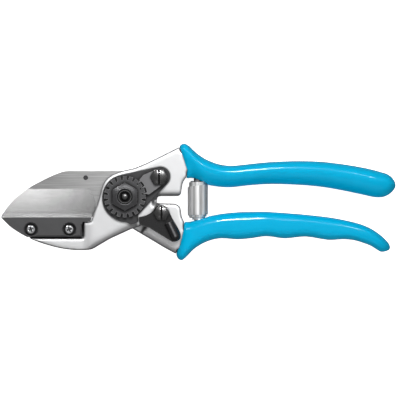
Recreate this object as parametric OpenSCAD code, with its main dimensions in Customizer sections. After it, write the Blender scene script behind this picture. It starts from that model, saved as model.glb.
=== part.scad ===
// Anvil pruning shears, lying on their back and closed.
// The pivot axis is Z, the handles run along +X, and Z = 0 is the flat back of the pivot bolt.

/* [Pivot stack] */
// Thickness of the pivot bolt's head
head_t = 3; // [2.4:0.1:3.2]
// Thickness of the washer under the bolt's head
head_washer_t = 0.6; // [0.4:0.1:0.8]
// Thickness of the rear lever's tongue
tongue_t = 4; // [3.6:0.1:4.4]
// Thickness of the blade
blade_t = 3; // [2.6:0.1:3.2]
// Thickness of the washer between the blade and the front lever
blade_washer_t = 0.4; // [0.3:0.1:0.6]
// Thickness of the front lever's head
front_t = 4; // [3.6:0.1:4.4]
// Thickness of the lock plate
plate_t = 1.5; // [1.2:0.1:1.8]
// Running gap between faces that turn on each other
face_gap = 0.05; // [0.03:0.01:0.08]

/* [Pivot parts] */
// Radius of the bolt's bearing shank
shank_r = 5; // [4.6:0.1:5.2]
// Radius of the bolt's threaded end
thread_r = 4; // [3.6:0.1:4]
// Outer radius of the bearing bush
bush_r = 6.5; // [6.2:0.1:7]
// Teeth on the rim of the pivot nut
nut_teeth = 20; // [18:1:22]
// Radius over the nut's teeth
nut_tip_r = 11.1; // [10.8:0.1:11.2]
// Radius at the roots of the nut's teeth
nut_root_r = 9; // [8.6:0.1:9.4]
// Width across the flats of the nut's hexagon
nut_af = 13; // [12:0.5:14]

/* [Levers] */
// Radius of the front lever's round head
front_head_r = 17.5; // [17:0.1:17.7]
// Radius of the rear lever's round head
rear_head_r = 13.4; // [13:0.1:13.5]
// Radius of the round shoulders where the levers reach full depth
shoulder_r = 18.3; // [18:0.1:18.6]
// Depth of the metal core inside the grips
tang_t = 12; // [10:0.5:12]

/* [Blade and anvil] */
// Height of the cutting edge below the pivot
edge_y = -10.8; // [-10.9:0.1:-10.7]
// Radius of the hollow grind
grind_r = 120; // [80:5:140]
// Radius of the blade's locating pin
blade_pin_r = 1.2; // [1:0.1:1.5]
// Radius of an anvil screw's head
anvil_head_r = 2.5; // [2.2:0.1:2.8]

/* [Grips] */
// Depth of the grips, front to back
grip_t = 18; // [17:0.5:19]
// Rings made between two stations of a grip
grip_steps = 3; // [2:1:4]
// Sides of a grip's section
grip_sides = 28; // [20:4:36]

/* [Spring] */
// Outer radius of the return spring
spring_r = 5.6; // [5.2:0.1:5.8]
// Width of the spring's strip
strip_w = 4.2; // [3.8:0.1:4.2]
// Thickness of the spring's strip
strip_t = 0.6; // [0.5:0.1:0.7]

/* [Hidden] */
$fn = 96;

steel = [0.72, 0.73, 0.75];
cast = [0.82, 0.83, 0.84];
black = [0.06, 0.06, 0.07];
zinc = [0.62, 0.63, 0.66];
blue = [0.02, 0.62, 0.82];

// Levels, from the back to the front
z_tongue = head_t + head_washer_t + face_gap;
z_blade = z_tongue + tongue_t;
z_blade_top = z_blade + blade_t;
z_front = z_blade_top + face_gap + blade_washer_t;
z_top = z_front + front_t;
z_nut = z_top + plate_t;
z_back = z_tongue;
z_mid = grip_t / 2;
ledge_t = 2.6;
flange_t = 2.3;
hub_t = 3.6;
segment_t = 2.1;

// Places of the small screws, the blade's pin and the spring's seats
segment_at = [18.2, 10.4];
catch_at = [19.5, -8.7];
blade_pin_at = [-20.8, 10.1];
anvil_screw_at = [[-49.9, -17.4], [-29.5, -17.4]];
upper_peg_at = [39, 8.2];
lower_peg_at = [39.2, -11.8];

// Points on an arc about c
function arc(c, r, a0, a1, n = 10) =
    [for (i = [0:n]) c + r * [cos(a0 + (a1 - a0) * i / n), sin(a0 + (a1 - a0) * i / n)]];

// One point of a smooth curve between b and c, with a and d beyond them
function between(a, b, c, d, t) =
    (2 * b + (c - a) * t + (2 * a - 5 * b + 4 * c - d) * t * t
        + (3 * b - a - 3 * c + d) * t * t * t) / 2;

// A smooth curve through every point of p, with n steps between neighbours
function smooth(p, n = 4) = concat(
    [for (i = [0:len(p) - 2]) for (j = [0:n - 1])
        between(p[max(i - 1, 0)], p[i], p[i + 1], p[min(i + 2, len(p) - 1)], j / n)],
    [p[len(p) - 1]]);

function reversed(p) = [for (i = [len(p) - 1:-1:0]) p[i]];

module slab(z, t) {
    translate([0, 0, z]) linear_extrude(t) children();
}

module rod(p, z, t, r) {
    translate([p[0], p[1], z]) cylinder(h = t, r = r);
}

// Cuts a sloping band off the front face, with the metal on the left of the line from a to b
module front_bevel(a, b, w, d) {
    translate([a[0], a[1], z_top - d])
        rotate([0, 0, atan2(b[1] - a[1], b[0] - a[0])])
            rotate([atan2(d, w), 0, 0])
                translate([-3, -2 * w, 0])
                    cube([norm(b - a) + 6, 6 * w, 6 * d]);
}

// Grip stations: upper point, lower point, half depth, squareness, bow of the section
upper_stations = [
    [28.8, 26.4, 32.3, 10.2, 6.8, 3.4, 1.2],
    [29.9, 27.8, 33.2, 9.6, 8.0, 3.0, 1.2],
    [31.8, 28.3, 34.6, 9.9, 8.7, 2.6, 1.0],
    [34.2, 27.0, 36.6, 9.6, 9, 2.3, 0.6],
    [38, 23.4, 39.5, 8.2, 9, 2.2, 0.2],
    [43, 20, 43, 6.5, 9, 2.2, 0],
    [50, 17.3, 50, 5.2, 9, 2.2, 0],
    [57, 16.5, 57, 5.0, 9, 2.2, 0],
    [66, 17.4, 66, 6.0, 9, 2.2, 0],
    [78, 18.5, 78, 6.7, 9, 2.2, 0],
    [93, 19, 93, 6.2, 9, 2.2, 0],
    [106, 18.5, 105, 5.1, 9, 2.2, 0],
    [118, 17.0, 116, 3.2, 9, 2.2, 0],
    [129, 15.0, 126, 1.1, 8.8, 2.2, 0],
    [136, 13.2, 132, -0.2, 8.2, 2.2, 0],
    [139.6, 12.0, 136, -0.4, 7.4, 2.2, 0],
    [142, 10.2, 139.2, 0.5, 6.1, 2.2, 0],
    [143.6, 7.8, 142, 2.5, 3.8, 2.2, 0],
    [144, 5.6, 143.5, 4.4, 0.9, 2.2, 0],
];
lower_stations = [
    [31.6, -13.6, 27.2, -30.8, 6.8, 3.4, 0.8],
    [32.5, -13.1, 28.3, -33, 8.0, 3.0, 0.8],
    [33.9, -13.4, 30.4, -33.8, 8.7, 3, 0.6],
    [36, -12.9, 33.2, -31.5, 9, 3, 0.3],
    [39.4, -11.8, 37.2, -27.5, 9, 3, 0],
    [44, -10.5, 43.5, -23.9, 9, 3, 0],
    [51, -9.1, 51, -22.1, 9, 3, 0],
    [60, -8.2, 60, -22.7, 9, 3, 0],
    [68, -8.0, 68, -22, 9, 3, 0],
    [75.5, -8.0, 75.5, -21, 9, 3, 0],
    [85, -8.6, 85, -22.2, 9, 3, 0],
    [96, -9.5, 96, -21.2, 9, 3, 0],
    [109, -11.0, 108, -23, 9, 3, 0],
    [119, -12.9, 116, -22.6, 8.8, 3, 0],
    [126, -14.8, 122, -23.2, 8.6, 2.9, 0],
    [131.5, -17.3, 127, -24.7, 8.2, 2.8, 0],
    [135.7, -20.2, 130.8, -26.2, 7.4, 2.6, 0],
    [138.6, -22.8, 133.7, -28.0, 6.3, 2.4, 0],
    [140.4, -25.0, 136, -29.3, 4.7, 2.2, 0],
    [141, -26.8, 138.4, -29.1, 2.6, 2.2, 0],
    [140.8, -28.0, 139.9, -28.6, 0.7, 2.2, 0],
];

function signed_power(v, e) = sign(v) * pow(abs(v), e);

// One ring of a grip: a squared oval between the station's two points, deepest towards the upper
// point when lean is above 0
function grip_ring(s, lean) =
    let (
        top = [s[0], s[1]],
        low = [s[2], s[3]],
        mid = (top + low) / 2,
        up = top - mid,
        side = [up[1], -up[0]] / norm(up)
    )
    [for (k = [0:grip_sides - 1])
        let (
            a = 360 * k / grip_sides,
            p = signed_power(cos(a), 2 / s[5]),
            q = signed_power(sin(a), 2 / s[5]) * (1 + lean * (p - 1) / 2) / (1 - 0.42 * lean),
            xy = mid + up * p + side * s[6] * (1 - p * p)
        )
        [xy[0], xy[1], z_mid + s[4] * q]];

function ring_middle(ring) = [for (i = [0:2]) let (v = [for (p = ring) p[i]]) (min(v) + max(v)) / 2];

// A closed skin through a list of rings, with a fan at each end
module skin(rings) {
    n = len(rings[0]);
    last = len(rings) - 1;
    body = [for (r = rings) each r];
    points = concat(body, [ring_middle(rings[0]), ring_middle(rings[last])]);
    start = len(body);
    faces = concat(
        [for (i = [0:last - 1]) for (k = [0:n - 1])
            [i * n + k, i * n + (k + 1) % n, (i + 1) * n + (k + 1) % n, (i + 1) * n + k]],
        [for (k = [0:n - 1]) [start, (k + 1) % n, k]],
        [for (k = [0:n - 1]) [start + 1, last * n + k, last * n + (k + 1) % n]]);
    polyhedron(points = points, faces = faces, convexity = 6);
}

// The metal core inside a grip, as far as the station called last
module tang(stations, first, last) {
    used = smooth([for (i = [first:last]) stations[i]], 2);
    inset = 0.22;
    upper = [for (s = used) [s[0], s[1]] * (1 - inset) + [s[2], s[3]] * inset];
    lower = [for (s = used) [s[0], s[1]] * inset + [s[2], s[3]] * (1 - inset)];
    slab(z_mid - tang_t / 2, tang_t) polygon(concat(upper, reversed(lower)));
}

module upper_tang() {
    tang(upper_stations, 0, 14);
}

module lower_tang() {
    tang(lower_stations, 0, 15);
}

module upper_peg_shape() {
    translate([upper_peg_at[0], upper_peg_at[1] - 4, z_mid])
        rotate([-90, 0, 0]) cylinder(h = 10, r = 2.4);
}

module lower_peg_shape() {
    translate([lower_peg_at[0], lower_peg_at[1] - 8, z_mid])
        rotate([-90, 0, 0]) cylinder(h = 12, r = 2.4);
}

// A round seat sunk into a grip for one end of the spring
module spring_seat(p, turn) {
    translate([p[0], p[1], z_mid])
        rotate([turn, 0, 0]) cylinder(h = 8, r = spring_r - 0.6);
}

module upper_grip() {
    color(blue) difference() {
        skin([for (s = smooth(upper_stations, grip_steps)) grip_ring(s, 0.4)]);
        slab(z_back, z_top - z_back) polygon(front_outline);
        upper_tang();
        upper_peg_shape();
        spring_seat(upper_peg_at, 90);
    }
}

module lower_grip() {
    color(blue) difference() {
        skin([for (s = smooth(lower_stations, grip_steps)) grip_ring(s, 0)]);
        slab(z_tongue, z_top - z_tongue) polygon(rear_arm);
        lower_tang();
        lower_peg_shape();
        spring_seat(lower_peg_at, -90);
    }
}

// Front lever: jaw, round head and upper arm, seen from the front
front_outline = concat(
    smooth([[-18, -13.5], [-16.4, -8.5], [-14.8, -4.2], [-13.3, 0.8], [-12.4, 4.4],
        [-10.5, 8.6], [-7.4, 11.3], [-3.5, 13.1], [1, 14.3], [5.5, 15.4], [12, 18.1],
        [19, 21.5], [28.8, 26.4]], 3),
    [[30.9, 22.6], [32.4, 18.2], [33.1, 14], [32.9, 10.4], [31.6, 9], [30.6, 6.8]],
    arc([28.3, 1.9], 1.6, -5, -90, 4),
    arc([0, 0], front_head_r, 1, -77.3, 20),
    [[-7.9, -22.4]],
    smooth([[-16, -27.2], [-18.6, -28.2], [-26, -28.4], [-34.6, -27.3], [-43.2, -25],
        [-50.6, -22.2]], 3),
    [[-22, -22.2], [-21.7, -13.5]]);

// Sector of the front lever's underside that stays at full depth beside its round pocket
module front_full_depth() {
    arm_side = [[0, 8], [40, -0.5], [40, 40], [0, 40]];
    jaw_side = [[-60, -12.9], [-14, -12.9], [-6, -24], [-8, -40], [-60, -40]];
    for (side = [arm_side, jaw_side]) intersection() {
        difference() {
            slab(z_back, z_front - z_back) polygon(front_outline);
            rod([0, 0], 0, 30, shoulder_r);
        }
        slab(0, 30) polygon(side);
    }
}

// Curved nose of the anvil, and the lip of the jaw below it
anvil_low_y = -21.4;
anvil_nose = smooth([[-65.9, -11], [-61, -15.8], [-55.5, -19.5], [-51.9, anvil_low_y]], 4);
lip_drop = 0.7;
lip_x = -21.5;
ramp_w = 3.5;

module front_lever() {
    color(cast) difference() {
        union() {
            slab(z_front, front_t) polygon(front_outline);
            front_full_depth();
            slab(z_back, ledge_t) polygon(concat(
                [[-20, -12.9], [-62.6, -12.9]],
                [for (p = anvil_nose) if (p[1] < -14 && p[1] > -21) [p[0] + 1.2, p[1]]],
                [[-47, -23], [-20, -23]]));
            upper_tang();
        }
        intersection() {
            rod([0, 0], z_front - 1, front_t + 2, shank_r);
            translate([-shank_r, -4, 0]) cube([2 * shank_r, 8, z_top + 2]);
        }
        rod(segment_at, 8, z_top, 2.5);
        for (p = anvil_screw_at) rod(p, z_back - 1, 6, 1.5);
        upper_peg_shape();
        translate([0, -10, z_top]) rotate([90, 0, 0]) linear_extrude(30)
            polygon([[-70, -lip_drop], [lip_x, -lip_drop], [lip_x + ramp_w, 0],
                [lip_x + ramp_w, 1], [-70, 1]]);
        front_bevel([-16.7, -27.7], [3.8, -16.9], 2.8, 1.3);
        front_bevel([17.8, 0.3], [28.6, 0.3], 1.6, 1.4);
        front_bevel([-50.6, -22.2], [-43.2, -25], 1.2, 0.8);
    }
}

// Rear lever: lower arm, seen from the front, with its shoulder and round head
rear_arm = concat(
    [[18.4, -3.5], [25, -3.7]],
    arc([26.4, -7.2], 3.4, 85, 5, 6),
    [[30.2, -10.4], [31.6, -13.6], [31.2, -17.6], [29.6, -23.6], [27.2, -30.4]],
    [[21.4, -27.3], [13.4, -22.5], [8.8, -19.8]]);

// Thin part of the rear lever: the arm's web, the round head and a nose behind the blade's pin
module rear_tongue() {
    rod([0, 0], z_tongue, tongue_t, rear_head_r);
    slab(z_tongue, tongue_t) polygon(concat(rear_arm, [[3.9, -16.9], [0, -10], [10, -2]]));
    slab(z_tongue, tongue_t) polygon([[-8, -2], [-16.4, 4], [-24.2, 7.6], [-24.2, 12.2],
        [-22, 13.2], [-4, 13.2], [0, 8]]);
}

module rear_lever() {
    color(cast) difference() {
        union() {
            rear_tongue();
            difference() {
                slab(z_tongue, z_top - z_tongue) polygon(rear_arm);
                rod([0, 0], 0, 30, shoulder_r);
                slab(0, 30) polygon([[0, -10], [11, -14.7], [8.6, -18.9], [8, -30], [0, -30]]);
            }
            lower_tang();
        }
        rod([0, 0], 0, z_top, bush_r);
        rod(blade_pin_at, 0, z_top, blade_pin_r);
        rod(catch_at, 8, z_top, 2);
        lower_peg_shape();
        front_bevel([8.6, -19.6], [27.2, -30.6], 2.6, 1.2);
    }
}

// Blade: a straight edge, a curved back and a round eye, hollow ground on its front
blade_outline = concat(
    [[-65.9, edge_y]],
    smooth([[-65.6, -10], [-59.5, -2], [-50.7, 4.9], [-40.5, 10.3], [-33, 13.3],
        [-28.4, 13.7]], 4),
    [[0, 13.7]],
    arc([0, 0], 13.7, 85, -110, 20),
    [[-12, -9], [-17.5, edge_y]]);

module blade() {
    grind_y = 4.2;
    grind_depth = 2.6;
    lean = asin((grind_y - edge_y) / 2 / grind_r);
    color(steel) difference() {
        slab(z_blade, blade_t) polygon(blade_outline);
        rod([0, 0], 0, z_top, bush_r);
        rod(blade_pin_at, 0, z_top, blade_pin_r);
        intersection() {
            slab(z_blade, 20) polygon([[-70, -14], [-70, grind_y], [-18.9, grind_y],
                [-17, 0.9], [-15.5, -2.5], [-15.5, -14]]);
            translate([-80, grind_y, z_blade_top])
                rotate([atan2(grind_depth, grind_y - edge_y), 0, 0])
                    translate([0, -norm([grind_depth, grind_y - edge_y]) / 2, 0])
                        translate([0, 0, grind_r * cos(lean)])
                            rotate([0, 90, 0]) cylinder(h = 80, r = grind_r, $fn = 200);
        }
    }
}

module blade_pin() {
    color(black) rod(blade_pin_at, z_tongue + 0.3, z_blade_top - z_tongue - 0.5, blade_pin_r);
}

// Anvil: a block under the cutting edge, screwed to the jaw from the front
anvil_top_y = edge_y - 0.1;
anvil_z = z_back + ledge_t;
anvil_t = z_top - 0.5 - anvil_z;
anvil_bore_r = anvil_head_r + 0.8;

module anvil() {
    color(black) difference() {
        slab(anvil_z, anvil_t) polygon(concat(
            [[-65.9, anvil_top_y]], anvil_nose,
            [[-22.9, anvil_low_y], [-22.6, -13.3], [-18.2, -13.3], [-17.5, anvil_top_y]]));
        for (p = anvil_screw_at) {
            rod(p, 0, z_top, 1.5);
            rod(p, z_top - 2.9, 4, anvil_bore_r);
            translate([p[0], p[1], z_top - 1.2])
                cylinder(h = 0.8, r1 = anvil_bore_r, r2 = anvil_bore_r + 0.8);
        }
        translate([0, 0, -0.5]) front_bevel([-52, anvil_low_y], [-20, anvil_low_y], 0.9, 0.7);
        translate([0, 0, -0.5]) front_bevel([-22.9, anvil_low_y], [-22.7, -17.6], 0.9, 0.7);
    }
}

module anvil_screws() {
    cross = [2.9, 0.8, 2];
    color(zinc) for (p = anvil_screw_at) difference() {
        union() {
            rod(p, z_back + 0.2, z_top - 2.9 - z_back - 0.2, 1.5);
            rod(p, z_top - 2.9, 1.5, anvil_head_r);
            translate([p[0], p[1], z_top - 1.4])
                cylinder(h = 0.5, r1 = anvil_head_r, r2 = anvil_head_r - 0.7);
        }
        for (turn = [20, 110]) translate([p[0], p[1], z_top - 1])
            rotate([0, 0, turn]) cube(cross, center = true);
    }
}

// Pivot bolt: flat head, round bearing shank, two flats in the front lever, threaded end
module pivot_bolt() {
    tip_z = z_nut + flange_t + hub_t - 0.4;
    color(steel) difference() {
        union() {
            intersection() {
                rod([0, 0], 0, head_t, 8.5);
                translate([-10, -7, 0]) cube([20, 14, head_t]);
            }
            rod([0, 0], 0, z_front, shank_r);
            intersection() {
                rod([0, 0], z_front - 0.5, front_t + 0.5, shank_r);
                translate([-shank_r, -4, 0]) cube([2 * shank_r, 8, z_top]);
            }
            rod([0, 0], z_top - 0.5, tip_z - z_top, thread_r);
            translate([0, 0, tip_z - 0.5]) cylinder(h = 0.5, r1 = thread_r, r2 = thread_r - 0.4);
        }
        difference() {
            rod([0, 0], tip_z - 1.8, 2, 3.1);
            intersection() {
                rod([0, 0], tip_z - 2, 1.7, 2.1);
                translate([0, 0, tip_z - 3.1]) sphere(r = 2.8);
            }
        }
    }
}

module washer(z, t, inner, outer) {
    slab(z, t) difference() {
        circle(r = outer);
        circle(r = inner);
    }
}

module head_washer() {
    color(zinc) washer(head_t, head_washer_t, shank_r + 0.1, 9);
}

module pivot_bush() {
    color(zinc) washer(z_tongue, z_blade_top - z_tongue, shank_r + 0.05, bush_r);
}

module blade_washer() {
    color(zinc) washer(z_front - blade_washer_t, blade_washer_t, shank_r + 0.1, 11);
}

// Lock plate: a teardrop round the pivot, reaching to the segment's screw, with a stop lobe
plate_outline = concat(
    arc([0.5, -0.6], 12.5, 100, 235, 28),
    [[-4.6, -12.2], [-2.2, -13.1], [0.6, -13.45], [1.6, -13.8], [2.4, -14.35], [3.6, -14.5],
        [5, -14.2], [6.4, -13.6], [7.2, -12.8], [7.2, -11.4], [6.9, -9.9]],
    arc([18.9, 10.8], 5.3, -43, 100, 24));

module lock_plate() {
    color(black) difference() {
        slab(z_top, plate_t) polygon(plate_outline);
        rod([0, 0], 0, 30, thread_r + 0.1);
        rod(segment_at, 0, 30, 2.6);
    }
}

nut_pitch = 360 / nut_teeth;

// Rim of the nut: flat-topped teeth with sloping flanks
function toothed_rim(root, tip, pitch) = [for (k = [0:360 / pitch - 1])
    for (f = [[-0.35, root], [-0.29, tip], [0.29, tip], [0.35, root]])
        f[1] * [cos((k + f[0]) * pitch), sin((k + f[0]) * pitch)]];

module hexagon(af) {
    circle(r = af / sqrt(3), $fn = 6);
}

module pivot_nut() {
    hub_z = z_nut + flange_t + hub_t;
    dome_r = 13;
    dome_flat_r = 4.8;
    color(black) difference() {
        union() {
            slab(z_nut, flange_t) polygon(toothed_rim(nut_root_r, nut_tip_r, nut_pitch));
            intersection() {
                slab(z_nut, flange_t + hub_t) rotate(30) hexagon(nut_af);
                translate([0, 0, hub_z - sqrt(pow(dome_r, 2) - pow(dome_flat_r, 2))])
                    sphere(r = dome_r);
            }
            translate([0, 0, hub_z]) rotate_extrude() translate([thread_r + 0.4, 0]) circle(r = 0.4);
        }
        rod([0, 0], 0, 40, thread_r);
    }
}

// Toothed segment: a finger plate whose teeth sit in the nut's rim
module toothed_segment() {
    color(zinc) difference() {
        union() {
            difference() {
                slab(z_nut, segment_t) polygon(concat(
                    [[7.6, 8.8], [9.8, 11.5]],
                    arc(segment_at, 4.3, 122, -62, 14),
                    [[12.9, 1.2], [9.4, 1.6]]));
                rod([0, 0], 0, 30, nut_tip_r + 0.5);
            }
            for (k = [0.5:1:2.5]) rotate(k * nut_pitch) slab(z_nut, segment_t)
                polygon([[nut_root_r + 0.3, -0.25], [nut_tip_r + 1.2, -0.6],
                    [nut_tip_r + 1.2, 0.6], [nut_root_r + 0.3, 0.25]]);
        }
        rod(segment_at, 0, 30, 2.6);
    }
}

// A screw with a domed, slotted hexagon head
module hex_screw(p, z, af, head_h, shoulder_z, shoulder_rr, tip_z, tip_r) {
    dome_r = 1.3 * af;
    difference() {
        union() {
            intersection() {
                slab(z, head_h) translate(p) hexagon(af);
                translate([p[0], p[1], z + head_h - dome_r]) sphere(r = dome_r);
            }
            rod(p, shoulder_z, z - shoulder_z, shoulder_rr);
            rod(p, tip_z, z - tip_z, tip_r);
        }
        translate([p[0] - 0.55, p[1] - af, z + head_h - 1.9]) cube([1.1, 2 * af, 3]);
    }
}

module segment_screw() {
    z = z_nut + segment_t;
    color(zinc) hex_screw(segment_at, z, 8, 3, z_nut, 2.5, 8.5, 2.5);
}

// Safety catch: a pressed plate with a thumb tab, and a claw under its nose
catch_gap = 0.1;
z_catch = z_nut + catch_gap;
catch_t = 1.7;
catch_swing = 8;
catch_pivot_r = 3;
catch_outline = concat(
    [[7.4, -10.9], [11.3, -9.9], [13.6, -8.8], [15.3, -7.2], [16.2, -5.6], [17.4, -4.7]],
    arc([19.6, -7.6], 3.2, 110, 20, 6),
    [[23.8, -8.2], [25.2, -11.4], [27.4, -15]],
    smooth([[29, -18], [29.8, -20.4], [29.4, -22.4], [27.4, -23.7], [25.1, -23.9]], 3),
    smooth([[18.7, -20], [13.4, -16.7], [10.4, -15.6], [8.2, -14.9], [7.6, -13.4]], 3));

// Thumb ridge: a half-round bump along the catch, cut square and hollow at its upper end
ridge_from = [23.5, -13.6];
ridge_to = [26.9, -20.9];
ridge_r = 2.7;
ridge_turn = atan2(ridge_to[1] - ridge_from[1], ridge_to[0] - ridge_from[0]) + 90;

module thumb_ridge() {
    intersection() {
        hull() for (p = [ridge_from, ridge_to])
            translate([p[0], p[1], z_catch + catch_t - 0.1]) sphere(r = ridge_r, $fn = 32);
        translate([ridge_from[0], ridge_from[1], z_catch + 0.4]) rotate(ridge_turn)
            translate([-4, -16, 0]) cube([8, 16, 5]);
    }
}

module safety_catch() {
    color(black) difference() {
        union() {
            slab(z_catch, catch_t) polygon(catch_outline);
            translate(concat(catch_at, 0)) rotate(catch_swing) translate([-12.2, -4.2, z_top + 0.2])
                cube([1.3, 1.3, z_catch - z_top]);
            thumb_ridge();
        }
        translate([ridge_from[0], ridge_from[1], z_catch + catch_t])
            rotate([90, 0, ridge_turn]) cylinder(h = 5, r = ridge_r - 0.8);
        rod(catch_at, 0, 40, catch_pivot_r + 0.05);
    }
}

module catch_screw() {
    z = z_catch + catch_t + face_gap;
    color(zinc) hex_screw(catch_at, z, 7, 2.5, z_top, catch_pivot_r, 8.5, 2);
}

// Cone washer that presses the catch against its screw
module catch_washer() {
    gap = z_catch - z_top;
    color(zinc) translate([catch_at[0], catch_at[1], z_top]) rotate_extrude()
        polygon([[4.1, 0], [3.8, 0], [3.1, gap - 0.65], [3.1, gap - 0.05],
            [3.4, gap - 0.05], [4.1, 0.6]]);
}

module upper_spring_peg() {
    color(zinc) upper_peg_shape();
}

module lower_spring_peg() {
    color(zinc) lower_peg_shape();
}

// Double volute spring: one flat strip, widest in the middle and wound small at both ends
spring_turns = 2.5;
spring_middle = (upper_peg_at[1] + lower_peg_at[1]) / 2;

// Height of the strip's middle, s turns from the middle of the spring
function strip_y(s) = sign(s) * (min(abs(s), 1.3) * 4.4 + max(abs(s) - 1.3, 0) * 1.6);
function strip_r(s) = spring_r - strip_t / 2 - 0.8 * max(abs(s) - 0.5, 0);

module return_spring() {
    steps = 20;
    x = (upper_peg_at[0] + lower_peg_at[0]) / 2;
    color(steel) skin([for (i = [-spring_turns * steps:spring_turns * steps])
        let (
            s = i / steps,
            a = 360 * s,
            r = strip_r(s),
            y = spring_middle + strip_y(s)
        )
        [for (c = [[1, 1], [1, -1], [-1, -1], [-1, 1]])
            let (rr = r + c[0] * strip_t / 2)
            [x + rr * cos(a), y + c[1] * strip_w / 2, z_mid + rr * sin(a)]]]);
}

front_lever();
rear_lever();
upper_grip();
lower_grip();
blade();
blade_pin();
anvil();
anvil_screws();
pivot_bolt();
head_washer();
pivot_bush();
blade_washer();
lock_plate();
pivot_nut();
toothed_segment();
segment_screw();
safety_catch();
catch_screw();
catch_washer();
return_spring();
upper_spring_peg();
lower_spring_peg();
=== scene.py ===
"""Anvil pruning shears: the looks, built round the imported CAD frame."""
import math

import bmesh
import bpy
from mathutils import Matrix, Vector


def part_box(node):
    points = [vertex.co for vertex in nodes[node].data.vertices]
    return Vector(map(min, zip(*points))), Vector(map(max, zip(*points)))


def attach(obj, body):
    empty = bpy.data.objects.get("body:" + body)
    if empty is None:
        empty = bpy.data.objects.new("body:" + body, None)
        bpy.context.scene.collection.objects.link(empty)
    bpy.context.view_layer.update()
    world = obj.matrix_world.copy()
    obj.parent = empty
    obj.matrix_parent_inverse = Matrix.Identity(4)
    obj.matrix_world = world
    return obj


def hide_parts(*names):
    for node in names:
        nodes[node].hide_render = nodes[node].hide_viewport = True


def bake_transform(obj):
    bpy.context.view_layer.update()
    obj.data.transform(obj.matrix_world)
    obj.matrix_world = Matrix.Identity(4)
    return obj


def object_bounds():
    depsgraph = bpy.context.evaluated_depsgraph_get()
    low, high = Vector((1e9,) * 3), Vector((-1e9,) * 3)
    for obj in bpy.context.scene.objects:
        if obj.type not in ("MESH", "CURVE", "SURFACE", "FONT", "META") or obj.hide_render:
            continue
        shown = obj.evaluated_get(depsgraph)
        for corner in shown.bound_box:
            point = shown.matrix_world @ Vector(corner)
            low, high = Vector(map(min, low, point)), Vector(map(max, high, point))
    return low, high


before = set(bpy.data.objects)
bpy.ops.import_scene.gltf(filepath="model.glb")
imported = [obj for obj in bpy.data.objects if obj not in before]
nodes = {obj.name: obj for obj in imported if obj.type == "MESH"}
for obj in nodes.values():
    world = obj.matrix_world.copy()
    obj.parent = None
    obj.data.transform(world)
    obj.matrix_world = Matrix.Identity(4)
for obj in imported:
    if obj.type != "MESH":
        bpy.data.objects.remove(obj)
cad_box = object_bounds()
MM = 0.001


# ---------------------------------------------------------------- materials

def new_material(name):
    """An empty material with its shader, as (material, node tree, Principled shader)."""
    mat = bpy.data.materials.new(name)
    mat.use_nodes = True
    tree = mat.node_tree
    return mat, tree, tree.nodes["Principled BSDF"]


def place(tree, stretch=(1, 1, 1), turn=0.0):
    """Object coordinates in metres, stretched and turned about Z."""
    coord = tree.nodes.new("ShaderNodeTexCoord")
    mapping = tree.nodes.new("ShaderNodeMapping")
    mapping.inputs["Scale"].default_value = stretch
    mapping.inputs["Rotation"].default_value = (0, 0, turn)
    tree.links.new(coord.outputs["Object"], mapping.inputs["Vector"])
    return mapping.outputs["Vector"]


def noise(tree, vector, scale, detail=4.0, rough=0.55):
    """Noise whose features are about 1 / scale metres across."""
    node = tree.nodes.new("ShaderNodeTexNoise")
    node.inputs["Scale"].default_value = scale
    node.inputs["Detail"].default_value = detail
    node.inputs["Roughness"].default_value = rough
    tree.links.new(vector, node.inputs["Vector"])
    return node.outputs["Fac"]


def ramp(tree, fac, stops):
    """A colour ramp: stops are (position, grey) or (position, (r, g, b))."""
    node = tree.nodes.new("ShaderNodeValToRGB")
    elements = node.color_ramp.elements
    while len(elements) < len(stops):
        elements.new(1.0)
    for element, (position, value) in zip(elements, stops):
        element.position = position
        rgb = value if isinstance(value, tuple) else (value,) * 3
        element.color = (*rgb, 1.0)
    tree.links.new(fac, node.inputs["Fac"])
    return node.outputs["Color"]


def math_node(tree, operation, a, b=None):
    """A Math node on one or two values, each a socket or a number."""
    node = tree.nodes.new("ShaderNodeMath")
    node.operation = operation
    for socket, value in zip(node.inputs, (a, b)):
        if value is None:
            continue
        if isinstance(value, (int, float)):
            socket.default_value = value
        else:
            tree.links.new(value, socket)
    return node.outputs[0]


def mix(tree, fac, a, b, blend="MIX"):
    """Mixes two colours, each a socket or (r, g, b)."""
    node = tree.nodes.new("ShaderNodeMix")
    node.data_type = "RGBA"
    node.blend_type = blend
    for socket, value in ((node.inputs[0], fac), (node.inputs[6], a), (node.inputs[7], b)):
        if isinstance(value, tuple):
            socket.default_value = (*value, 1.0)
        elif isinstance(value, (int, float)):
            socket.default_value = value
        else:
            tree.links.new(value, socket)
    return node.outputs[2]


def weighted(tree, base, *parts):
    """base plus the sum of the parts, each given as (socket, weight)."""
    total = base
    for socket, weight in parts:
        total = math_node(tree, "ADD", math_node(tree, "MULTIPLY", socket, weight), total)
    return total


def vector_math(tree, operation, a, b=None):
    """A Vector Math node on one or two vectors, each a socket or (x, y, z)."""
    node = tree.nodes.new("ShaderNodeVectorMath")
    node.operation = operation
    for socket, value in zip(node.inputs, (a, b)):
        if isinstance(value, tuple):
            socket.default_value = value
        elif value is not None:
            tree.links.new(value, socket)
    return node.outputs["Vector"]


def grinding_wheel():
    """The (y, z) of the axis, along X, of the wheel that hollowed the blade's bevel, in millimetres."""
    radius = 120.0
    line_y, edge_y = 4.2, -10.8  # the grind line on the front face, and the cutting edge
    depth = 2.6  # how much deeper the edge lies than the grind line
    half = (line_y - edge_y) / 2
    rise = math.sqrt(radius ** 2 - half ** 2)
    tilt = math.atan2(depth, 2 * half)
    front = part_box("blade")[1].z / MM
    return line_y - half - rise * math.sin(tilt), front - depth / 2 + rise * math.cos(tilt)


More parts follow.
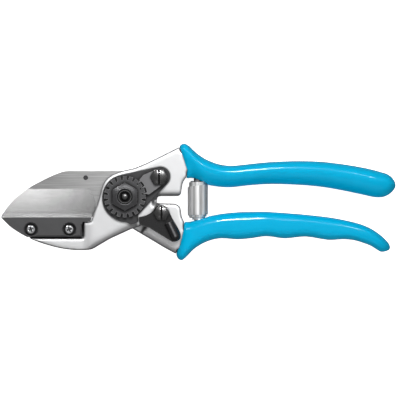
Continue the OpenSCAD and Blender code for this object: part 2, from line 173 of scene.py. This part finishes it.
def wheel_normal(tree, ground):
    """The exact normal of the hollow grind where ground is 1, and the mesh's own where it is 0."""
    wheel_y, wheel_z = grinding_wheel()
    centre = (0, wheel_y * MM, wheel_z * MM)
    inward = vector_math(tree, "SUBTRACT", centre, place(tree, (0, 1, 1)))
    turned = tree.nodes.new("ShaderNodeVectorTransform")
    turned.vector_type = "NORMAL"
    turned.convert_from = "OBJECT"
    turned.convert_to = "WORLD"
    tree.links.new(vector_math(tree, "NORMALIZE", inward), turned.inputs[0])
    own = tree.nodes.new("ShaderNodeNewGeometry")
    blend = tree.nodes.new("ShaderNodeMix")
    blend.data_type = "VECTOR"
    tree.links.new(ground, blend.inputs[0])
    tree.links.new(own.outputs["Normal"], blend.inputs[4])
    tree.links.new(turned.outputs[0], blend.inputs[5])
    return vector_math(tree, "NORMALIZE", blend.outputs[1])


def bump(tree, shader, height, distance, normal=None):
    """Relief of height times distance metres, on the given normal or on the mesh's own."""
    node = tree.nodes.new("ShaderNodeBump")
    node.inputs["Distance"].default_value = distance
    if normal:
        tree.links.new(normal, node.inputs["Normal"])
    tree.links.new(height, node.inputs["Height"])
    tree.links.new(node.outputs["Normal"], shader.inputs["Normal"])


def edge_wear(tree, sharp):
    """1 beside sharp edges and 0 elsewhere, in patches. A higher sharp takes in softer edges."""
    reach = 0.35
    geometry = tree.nodes.new("ShaderNodeNewGeometry")
    rounded = tree.nodes.new("ShaderNodeBevel")
    rounded.samples = 6
    rounded.inputs["Radius"].default_value = reach * MM
    agree = tree.nodes.new("ShaderNodeVectorMath")
    agree.operation = "DOT_PRODUCT"
    tree.links.new(geometry.outputs["Normal"], agree.inputs[0])
    tree.links.new(rounded.outputs["Normal"], agree.inputs[1])
    edges = ramp(tree, agree.outputs["Value"], [(sharp - 0.17, 1.0), (sharp, 0.0)])
    patches = ramp(tree, noise(tree, place(tree), 700), [(0.40, 0.15), (0.62, 1.0)])
    return math_node(tree, "MULTIPLY", edges, patches)


def axis(tree, name):
    """One of the object coordinates, in metres."""
    axes = tree.nodes.new("ShaderNodeSeparateXYZ")
    tree.links.new(place(tree), axes.inputs[0])
    return axes.outputs[name]


def along(tree, start, end):
    """0 where X is start and 1 where it is end, both in millimetres."""
    span = end - start
    return weighted(tree, -start / span, (axis(tree, "X"), 1 / (span * MM)))


def crevices(tree, reach):
    """Ambient occlusion, for painted shade: 0 in crevices narrower than reach millimetres, 1 on open
    surfaces.
    """
    node = tree.nodes.new("ShaderNodeAmbientOcclusion")
    node.samples = 8
    node.inputs["Distance"].default_value = reach * MM
    return ramp(tree, node.outputs["AO"], [(0.58, 0.0), (0.96, 1.0)])


def facing_up(tree, low, high):
    """0 where the normal's Z, up or down, is under low, and 1 where it is over high."""
    coord = tree.nodes.new("ShaderNodeTexCoord")
    axes = tree.nodes.new("ShaderNodeSeparateXYZ")
    tree.links.new(coord.outputs["Normal"], axes.inputs[0])
    flat = math_node(tree, "ABSOLUTE", axes.outputs["Z"])
    return ramp(tree, flat, [(low, 0.0), (high, 1.0)])


def dimmed(tone, factor):
    return tuple(factor * c for c in tone)


def cast_aluminium():
    """Casting: polished flats; greyer slopes and dark grey sides, partly a rougher cast finish and
    partly painted shade; fine scratches; painted shade in crevices.
    """
    mat, tree, shader = new_material("cast_aluminium")
    shader.inputs["Metallic"].default_value = 1.0
    where = place(tree)
    clouds = noise(tree, where, 90, 5)
    grain = noise(tree, where, 2600, 3)
    scratches = noise(tree, place(tree, (1, 26, 1), 0.5), 260, 3)
    polished = mix(tree, clouds, (0.68, 0.685, 0.69), (0.77, 0.77, 0.78))
    # Slopes and sides are darker by their normal alone: partly a rougher cast finish, partly painted
    # shade
    side_shade = mix(tree, grain, (0.25, 0.25, 0.255), (0.33, 0.33, 0.335))
    slope_shade = mix(tree, grain, (0.42, 0.42, 0.425), (0.50, 0.50, 0.505))
    flat = facing_up(tree, 0.95, 0.999)
    tone = mix(tree, facing_up(tree, 0.78, 0.94), side_shade, slope_shade)
    tone = mix(tree, flat, tone, polished)
    # Painted shade in crevices, from ambient occlusion
    crevice_shade_tone = mix(tree, 1.0, tone, (0.4, 0.4, 0.4), "MULTIPLY")
    tone = mix(tree, crevices(tree, 0.8), crevice_shade_tone, tone)
    tree.links.new(tone, shader.inputs["Base Color"])
    level = weighted(tree, 0.57, (grain, 0.10), (scratches, 0.08), (flat, -0.30))
    tree.links.new(level, shader.inputs["Roughness"])
    bump(tree, shader, weighted(tree, grain, (scratches, 0.6)), 0.01 * MM)
    return mat


def blade_steel():
    """Blade: a flat brushed grey along X, and below the grind line a hollow-ground bevel whose brighter
    tone is partly its polish and partly a painted reflection.
    """
    mat, tree, shader = new_material("blade_steel")
    shader.inputs["Metallic"].default_value = 1.0
    brushed = noise(tree, place(tree, (0.02, 1, 1)), 4200, 3, 0.6)
    fine = noise(tree, place(tree, (0.01, 1, 1)), 9000, 2, 0.6)
    coarse = noise(tree, place(tree, (0.015, 1, 1)), 2600, 2, 0.6)
    clouds = noise(tree, place(tree), 60, 4)

    # The flat darkens towards the tip, and the bevel towards the pivot
    lines = weighted(tree, 0.0, (brushed, 0.5), (coarse, 0.5))
    flat = ramp(tree, lines, [(0.32, 0.29), (0.68, 0.53)])
    tip = ramp(tree, along(tree, -71.4, 0), [(0.1, 0.74), (0.85, 1.04)])
    flat = mix(tree, 1.0, flat, tip, "MULTIPLY")
    # The bevel's brighter tone: partly its polish, partly a painted reflection
    ground = ramp(tree, clouds, [(0.3, 0.86), (0.7, 0.96)])
    heel = ramp(tree, along(tree, -65, -15), [(0.3, 1.0), (0.6, 0.86), (0.95, 0.60)])
    ground = mix(tree, 1.0, ground, heel, "MULTIPLY")

    # The bevel leans by 6 to 13 degrees, which is neither the flat front nor a side
    plane = facing_up(tree, 0.9955, 0.9985)
    not_side = facing_up(tree, 0.80, 0.88)
    hollow = math_node(tree, "MULTIPLY", not_side, math_node(tree, "SUBTRACT", 1.0, plane))
    tree.links.new(mix(tree, plane, ground, flat), shader.inputs["Base Color"])
    level = weighted(tree, 0.16, (brushed, 0.16), (plane, 0.08))
    tree.links.new(level, shader.inputs["Roughness"])
    height = math_node(tree, "ADD", brushed, fine)
    bump(tree, shader, height, 0.012 * MM, wheel_normal(tree, hollow))
    return mat


def dark_steel(name, tone, wear_and_highlight_tone, roughness, metallic=0.4, sharp=0.97, crest=None, reach=2.0):
    """Blackened or oiled steel: fine grain, a mottled tone, scuffed edges and painted shade in
    crevices.

    A crest, the height of the part's top in millimetres, gets a painted highlight along it, as bright
    as the scuffed edges."""
    mat, tree, shader = new_material(name)
    shader.inputs["Metallic"].default_value = metallic
    where = place(tree)
    grain = noise(tree, where, 3000, 4)
    clouds = noise(tree, where, 160, 4)
    base = mix(tree, clouds, dimmed(tone, 0.88), dimmed(tone, 1.14))
    wear_and_highlight_mask = edge_wear(tree, sharp)
    # Painted highlight along the crest, in the same tone as the scuffed edges
    if crest:
        top_millimetre = weighted(tree, 1 - crest, (axis(tree, "Z"), 1 / MM))
        crest_highlight = ramp(tree, top_millimetre, [(0.91, 0.0), (0.99, 1.0)])
        wear_and_highlight_mask = math_node(tree, "MAXIMUM", wear_and_highlight_mask, math_node(tree, "MULTIPLY", crest_highlight, grain))
    colour = mix(tree, wear_and_highlight_mask, base, wear_and_highlight_tone)
    # Painted shade in crevices, from ambient occlusion
    colour = mix(tree, crevices(tree, reach), dimmed(tone, 0.1), colour)
    tree.links.new(colour, shader.inputs["Base Color"])
    level = weighted(tree, roughness - 0.05, (grain, 0.10))
    tree.links.new(level, shader.inputs["Roughness"])
    bump(tree, shader, grain, 0.008 * MM)
    return mat


def bright_metal(name, tone, roughness):
    """Bare or plated metal with a faint grain and painted shade in crevices."""
    mat, tree, shader = new_material(name)
    shader.inputs["Metallic"].default_value = 1.0
    grain = noise(tree, place(tree), 2400, 3)
    colour = mix(tree, grain, dimmed(tone, 0.85), tone)
    # Painted shade in crevices, from ambient occlusion
    colour = mix(tree, crevices(tree, 2.0), dimmed(tone, 0.1), colour)
    tree.links.new(colour, shader.inputs["Base Color"])
    level = weighted(tree, roughness - 0.07, (grain, 0.14))
    tree.links.new(level, shader.inputs["Roughness"])
    bump(tree, shader, grain, 0.01 * MM)
    return mat


def spring_steel():
    """Bright rolled strip: soft light and dark bands, which are painted reflections, and fine lines,
    both drawn along Y.
    """
    mat, tree, shader = new_material("spring_steel")
    shader.inputs["Metallic"].default_value = 0.55
    bands = noise(tree, place(tree, (1, 0.02, 1)), 520, 1, 0.4)
    lines = noise(tree, place(tree, (1, 0.05, 1)), 3000, 3)
    # The light and dark bands are painted reflections
    tone = ramp(tree, bands, [(0.36, 0.45), (0.5, 0.80), (0.62, 1.0)])
    tone = mix(tree, 0.25, tone, ramp(tree, lines, [(0.3, 0.4), (0.7, 1.0)]), "MULTIPLY")
    tree.links.new(tone, shader.inputs["Base Color"])
    tree.links.new(weighted(tree, 0.24, (lines, 0.14)), shader.inputs["Roughness"])
    bump(tree, shader, lines, 0.006 * MM)
    return mat


def dipped_vinyl():
    """Glossy cyan dip coat: slight orange peel, and a little variation of tone."""
    mat, tree, shader = new_material("dipped_vinyl")
    where = place(tree)
    clouds = noise(tree, where, 40, 3)
    peel = noise(tree, where, 700, 2)
    waves = noise(tree, where, 120, 2)
    tone = mix(tree, clouds, (0.0, 0.42, 0.71), (0.0, 0.45, 0.75))
    tree.links.new(tone, shader.inputs["Base Color"])
    tree.links.new(weighted(tree, 0.10, (peel, 0.05)), shader.inputs["Roughness"])
    shader.inputs["Specular IOR Level"].default_value = 0.15
    bump(tree, shader, weighted(tree, peel, (waves, 3.0)), 0.02 * MM)
    return mat


# ---------------------------------------------------------------- shapes

def show(name, mat, bevel, segments=3, crisp=None):
    """A CAD node kept as it is: welded, its edges rounded, smooth shaded, in its material.

    With crisp, every edge that still turns by more than crisp degrees is shaded hard."""
    obj = nodes[name]
    obj.data.materials.clear()
    obj.data.materials.append(mat)
    for polygon in obj.data.polygons:
        polygon.material_index = 0
    weld = obj.modifiers.new("weld", "WELD")
    weld.merge_threshold = 0.002 * MM
    flat = obj.modifiers.new("flat", "DECIMATE")
    flat.decimate_type = "DISSOLVE"
    flat.angle_limit = math.radians(0.6)
    rounded = obj.modifiers.new("rounded", "BEVEL")
    rounded.width = bevel * MM
    rounded.segments = segments
    rounded.limit_method = "ANGLE"
    rounded.angle_limit = math.radians(30)
    rounded.miter_outer = "MITER_ARC"
    if crisp:
        split = obj.modifiers.new("crisp", "EDGE_SPLIT")
        split.split_angle = math.radians(crisp)
    shade = obj.modifiers.new("shade", "WEIGHTED_NORMAL")
    shade.mode = "FACE_AREA"
    shade.weight = 100
    shade.thresh = 0.1
    smooth(obj)


def smooth(obj):
    obj.data.polygons.foreach_set("use_smooth", [True] * len(obj.data.polygons))


def link(name, data):
    """A new object in the scene that holds the data, such as a mesh."""
    obj = bpy.data.objects.new(name, data)
    bpy.context.scene.collection.objects.link(obj)
    return obj


def mesh_of(form, name):
    """The bmesh made into a mesh with its normals outwards."""
    bmesh.ops.recalc_face_normals(form, faces=form.faces)
    mesh = bpy.data.meshes.new(name)
    form.to_mesh(mesh)
    form.free()
    return mesh


def applied(obj):
    """Makes the object's modifiers real."""
    depsgraph = bpy.context.evaluated_depsgraph_get()
    mesh = bpy.data.meshes.new_from_object(obj.evaluated_get(depsgraph))
    obj.modifiers.clear()
    obj.data = mesh


def moulded(name, node, voxel, smoothing):
    """A smooth copy of a CAD node, remeshed and softened."""
    obj = link(name, nodes[node].data.copy())
    remesh = obj.modifiers.new("remesh", "REMESH")
    remesh.mode = "VOXEL"
    remesh.voxel_size = voxel * MM
    soften = obj.modifiers.new("soften", "SMOOTH")
    soften.factor = 0.5
    soften.iterations = smoothing
    applied(obj)
    smooth(obj)
    return obj


def strip_object(name, columns):
    """A closed strip: each column lists (outer point, inner point) from one edge to the other."""
    form = bmesh.new()
    grid = [[(form.verts.new(a), form.verts.new(b)) for a, b in column] for column in columns]
    rows = len(grid[0])
    for left, right in zip(grid, grid[1:]):
        for j in range(rows - 1):
            form.faces.new((left[j][0], right[j][0], right[j + 1][0], left[j + 1][0]))
            form.faces.new((left[j][1], left[j + 1][1], right[j + 1][1], right[j][1]))
        for j in (0, rows - 1):
            form.faces.new((left[j][0], left[j][1], right[j][1], right[j][0]))
    for column in (grid[0], grid[-1]):
        for j in range(rows - 1):
            form.faces.new((column[j][0], column[j + 1][0], column[j + 1][1], column[j][1]))
    return link(name, mesh_of(form, name))


def step(x, a, b):
    """0 before a, 1 after b, smooth between."""
    t = min(max((x - a) / (b - a), 0.0), 1.0)
    return t * t * (3 - 2 * t)


def volute_spring():
    """One flat strip wound round Y: a tall outer turn, and narrower turns inside it at both ends.

    A turn is an angle in degrees, 0 in the middle of the tall turn, rising towards the upper end."""
    centre_x, centre_z = 38.8, 9.0
    outer_r, inward, thick = 5.15, 0.75, 0.5
    low_edge, high_edge, middle, gap = -9.8, 5.4, -2.2, 0.3
    wound, step_every, ease = 720, 360, 15
    seam = 140  # where the middle of the tall turn lies, from X towards Z
    rows = 8

    def past(turn, whole):
        """0 inside and 1 outside the whole-th step inwards on this side of the middle."""
        at = step_every * (whole - 0.5)
        return step(turn, at - ease, at + ease)

    def edges(turn):
        """The strip's edges in Y, which slope a little along the turns."""
        high = high_edge + 1.9 * min(turn, 180) / 180 + 1.2 * max(turn - 180, 0) / 540
        low = low_edge + 0.5 * max(turn, -180) / 180 - 2.0 * max(-180 - turn, 0) / 540
        high += (middle - gap - high) * past(-turn, 1)
        low += (middle + gap - low) * past(turn, 1)
        return low, high

    def point(turn, r, y):
        a = math.radians(seam - turn)
        return Vector((centre_x + r * math.cos(a), y, centre_z + r * math.sin(a))) * MM

    columns = []
    for turn in range(-wound, wound + 1, 6):
        low, high = edges(turn)
        ys = [low + (high - low) * j / rows for j in range(rows + 1)]
        r = outer_r - inward * (past(abs(turn), 1) + past(abs(turn), 2))
        columns.append([(point(turn, r + thick / 2, y), point(turn, r - thick / 2, y)) for y in ys])
    return strip_object("volute_spring_strip", columns)


def finger_plate():
    """The toothed segment, its teeth drawn slimmer than the CAD's so that the gap to the nut shows."""
    # The teeth point at the pivot: radii, angles and half widths in degrees are about it
    root_r, tip_r = 12.0, 9.8
    teeth, root_half, tip_half = (45, 27, 9), 1.9, 0.9
    first_angle, last_angle = 49, 6.3
    # The eye for the screw, and the corners where the outline leaves the teeth for it
    eye, eye_r, bore_r = (18.2, 10.4), 4.3, 2.6
    outer_corner, inner_corner = (12.9, 1.2), (9.8, 11.5)

    def polar(r, angle, about=(0.0, 0.0)):
        """The point at r millimetres and angle degrees about a centre."""
        a = math.radians(angle)
        return about[0] + r * math.cos(a), about[1] + r * math.sin(a)

    outline = [polar(root_r, first_angle)]
    for tooth in teeth:
        outline += [polar(root_r, tooth + root_half), polar(tip_r, tooth + tip_half),
                    polar(tip_r, tooth - tip_half), polar(root_r, tooth - root_half)]
        if tooth != teeth[-1]:
            outline += [polar(root_r, tooth - turn) for turn in (5, 9, 13)]
    outline += [polar(root_r, last_angle), outer_corner]
    outline += [polar(eye_r, turn, eye) for turn in range(-62, 123, 8)] + [inner_corner]
    bore = [polar(bore_r, turn, eye) for turn in range(0, 360, 12)]

    low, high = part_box("toothed_segment")
    form = bmesh.new()
    for loop in (outline, bore):
        verts = [form.verts.new((x * MM, y * MM, low.z)) for x, y in loop]
        for a, b in zip(verts, verts[1:] + verts[:1]):
            form.edges.new((a, b))
    bmesh.ops.triangle_fill(form, edges=form.edges[:], use_beauty=True, use_dissolve=True)
    raised = bmesh.ops.extrude_face_region(form, geom=form.faces[:], use_keep_orig=True)
    tops = [part for part in raised["geom"] if isinstance(part, bmesh.types.BMVert)]
    bmesh.ops.translate(form, vec=(0, 0, high.z - low.z), verts=tops)
    obj = link("finger_plate", mesh_of(form, "finger_plate"))
    rounded = obj.modifiers.new("rounded", "BEVEL")
    rounded.width = 0.15 * MM
    rounded.segments = 2
    rounded.angle_limit = math.radians(30)
    shade = obj.modifiers.new("shade", "WEIGHTED_NORMAL")
    shade.weight = 100
    applied(obj)
    return obj


def dress(obj, mat, body, node):
    """Gives a new piece its material, hangs it on the body it rides on, and hides the CAD node it
    stands for.
    """
    obj.data.materials.clear()
    obj.data.materials.append(mat)
    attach(obj, body)
    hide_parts(node)


def fit_spring():
    """The return spring, which stretches between the two halves."""
    strip = volute_spring()
    smooth(strip)
    strip.data.set_sharp_from_angle(angle=math.radians(40))
    strip.data.materials.append(spring_steel())
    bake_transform(strip)
    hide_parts("return_spring")


def build_pieces():
    """Every piece in its material: the CAD's own, and those that stand for a CAD node."""
    cast = cast_aluminium()
    black = dark_steel("black_steel", (0.035, 0.035, 0.037), (0.30, 0.30, 0.31), 0.42)
    anvil = dark_steel("anvil_black", (0.066, 0.066, 0.068), (0.30, 0.30, 0.31), 0.38, sharp=0.99)
    nut = dark_steel("nut_black", (0.075, 0.075, 0.078), (0.55, 0.55, 0.56), 0.34, 0.6, sharp=0.99)
    catch = dark_steel("catch_black", (0.017, 0.017, 0.018), (0.35, 0.35, 0.36), 0.26, crest=21.0)
    oiled = dark_steel("oiled_steel", (0.09, 0.09, 0.09), (0.4, 0.4, 0.4), 0.26, 0.9)
    bolt = dark_steel("bolt_steel", (0.10, 0.10, 0.10), (0.35, 0.35, 0.35), 0.36, 0.9)
    segment = dark_steel("segment_steel", (0.18, 0.18, 0.185), (0.5, 0.5, 0.5), 0.36, 0.9, reach=1.0)
    zinc = bright_metal("zinc_steel", (0.72, 0.73, 0.75), 0.22)
    bronze = bright_metal("bush_bronze", (0.60, 0.42, 0.20), 0.3)
    vinyl = dipped_vinyl()

    front = moulded("front_lever_casting", "front_lever", 0.4, 36)
    dress(front, cast, "front_half", "front_lever")
    rear = moulded("rear_lever_casting", "rear_lever", 0.4, 36)
    dress(rear, cast, "rear_half", "rear_lever")
    show("blade", blade_steel(), 0.12, 2, crisp=6)
    show("blade_pin", black, 0.15)
    show("anvil", anvil, 0.25)
    show("anvil_screws", zinc, 0.12)
    show("pivot_bolt", bolt, 0.2)
    show("head_washer", zinc, 0.1)
    show("pivot_bush", bronze, 0.1)
    show("blade_washer", bronze, 0.08)
    show("lock_plate", black, 0.2)
    show("pivot_nut", nut, 0.2)
    dress(finger_plate(), segment, "front_half", "toothed_segment")
    show("segment_screw", oiled, 0.3)
    show("safety_catch", catch, 0.3)
    show("catch_screw", oiled, 0.3)
    show("catch_washer", zinc, 0.05)
    fit_spring()
    show("upper_spring_peg", zinc, 0.2)
    show("lower_spring_peg", zinc, 0.2)

    upper = moulded("upper_grip_coat", "upper_grip", 0.45, 8)
    dress(upper, vinyl, "front_half", "upper_grip")
    lower = moulded("lower_grip_coat", "lower_grip", 0.45, 8)
    dress(lower, vinyl, "rear_half", "lower_grip")


# ---------------------------------------------------------------- studio

def set_camera():
    """A camera straight above, with the whole tool in view."""
    view_width, view_x, view_y = 212.5, 39.95, -1.75  # the picture's width and middle
    camera = link("camera", bpy.data.cameras.new("camera"))
    camera.data.type = "ORTHO"
    camera.data.ortho_scale = view_width * MM
    camera.location = (view_x * MM, view_y * MM, 0.6)
    bpy.context.scene.camera = camera


def lay_floor(middle, lowest):
    """White paper just under the tool, which gives off its own light and is never reflected."""
    mesh = bpy.data.meshes.new("floor")
    form = bmesh.new()
    bmesh.ops.create_grid(form, x_segments=1, y_segments=1, size=1.5)
    form.to_mesh(mesh)
    form.free()
    floor = link("floor", mesh)
    floor.location = (middle.x, middle.y, lowest - 0.02 * MM)
    mat, tree, shader = new_material("floor_paper")
    paper = mix(tree, noise(tree, place(tree), 300, 3), (0.90, 0.90, 0.90), (0.94, 0.94, 0.94))
    tree.links.new(paper, shader.inputs["Base Color"])
    shader.inputs["Roughness"].default_value = 0.9
    shader.inputs["Emission Color"].default_value = (1, 1, 1, 1)
    shader.inputs["Emission Strength"].default_value = 1.0
    mesh.materials.append(mat)
    floor.visible_glossy = False
    floor.visible_diffuse = False


def light_sky():
    """A soft grey sky, darker below the horizon."""
    world = bpy.data.worlds.new("studio")
    world.use_nodes = True
    tree = world.node_tree
    coord = tree.nodes.new("ShaderNodeTexCoord")
    axes = tree.nodes.new("ShaderNodeSeparateXYZ")
    tree.links.new(coord.outputs["Generated"], axes.inputs[0])
    # 0 straight down, 0.5 at the horizon and 1 straight up
    height = weighted(tree, 0.5, (axes.outputs["Z"], 0.5))
    below = [(0.0, 0.16), (0.44, 0.15)]
    above = [(0.52, 0.25), (0.75, 0.30), (0.94, 0.36), (1.0, 0.38)]
    sky = ramp(tree, height, below + above)
    tree.links.new(sky, tree.nodes["Background"].inputs["Color"])
    tree.nodes["Background"].inputs["Strength"].default_value = 0.95
    bpy.context.scene.world = world


def hang_softboxes(middle):
    """Rectangles of light aimed at the middle of the tool."""
    def softbox(name, location, size, power, glossy=True, diffuse=True):
        """One light, which gloss, matt surfaces or both can see."""
        light = bpy.data.lights.new(name, "AREA")
        light.shape = "RECTANGLE"
        light.size, light.size_y = size
        light.energy = power
        obj = link(name, light)
        obj.location = location
        aim = middle - Vector(location)
        obj.rotation_euler = aim.to_track_quat("-Z", "Y").to_euler()
        obj.visible_glossy = glossy
        obj.visible_diffuse = diffuse

    # Seen only in reflections, for the highlights on metal and vinyl
    softbox("key_light", (0.030, 0.36, 0.56), (0.06, 0.10), 3.7, diffuse=False)
    softbox("strip_light", (0.04, 0.36, 0.56), (0.40, 0.12), 0.5, diffuse=False)
    softbox("corner_light", (-0.28, 0.36, 0.27), (0.10, 0.10), 0.75, diffuse=False)
    softbox("right_light", (0.18, 0.08, 0.36), (0.24, 0.5), 0.14, diffuse=False)
    softbox("slope_light", (0.25, 0.30, 0.52), (0.10, 0.10), 1.1, diffuse=False)
    softbox("blade_light", (-0.10, -0.28, 0.56), (0.16, 0.10), 0.08, diffuse=False)
    # Never reflected, for the even light on matt surfaces
    softbox("fill_light", (0.05, 0.34, 0.40), (0.4, 0.3), 2.3, glossy=False)
    softbox("low_fill_light", (0.06, -0.36, 0.34), (0.4, 0.3), 0.7, glossy=False)


def studio():
    """The camera, the floor and the light."""
    bpy.context.scene.view_settings.view_transform = "Standard"
    lowest, highest = cad_box
    middle = (Vector(lowest) + Vector(highest)) / 2
    set_camera()
    lay_floor(middle, lowest[2])
    light_sky()
    hang_softboxes(middle)


build_pieces()
studio()
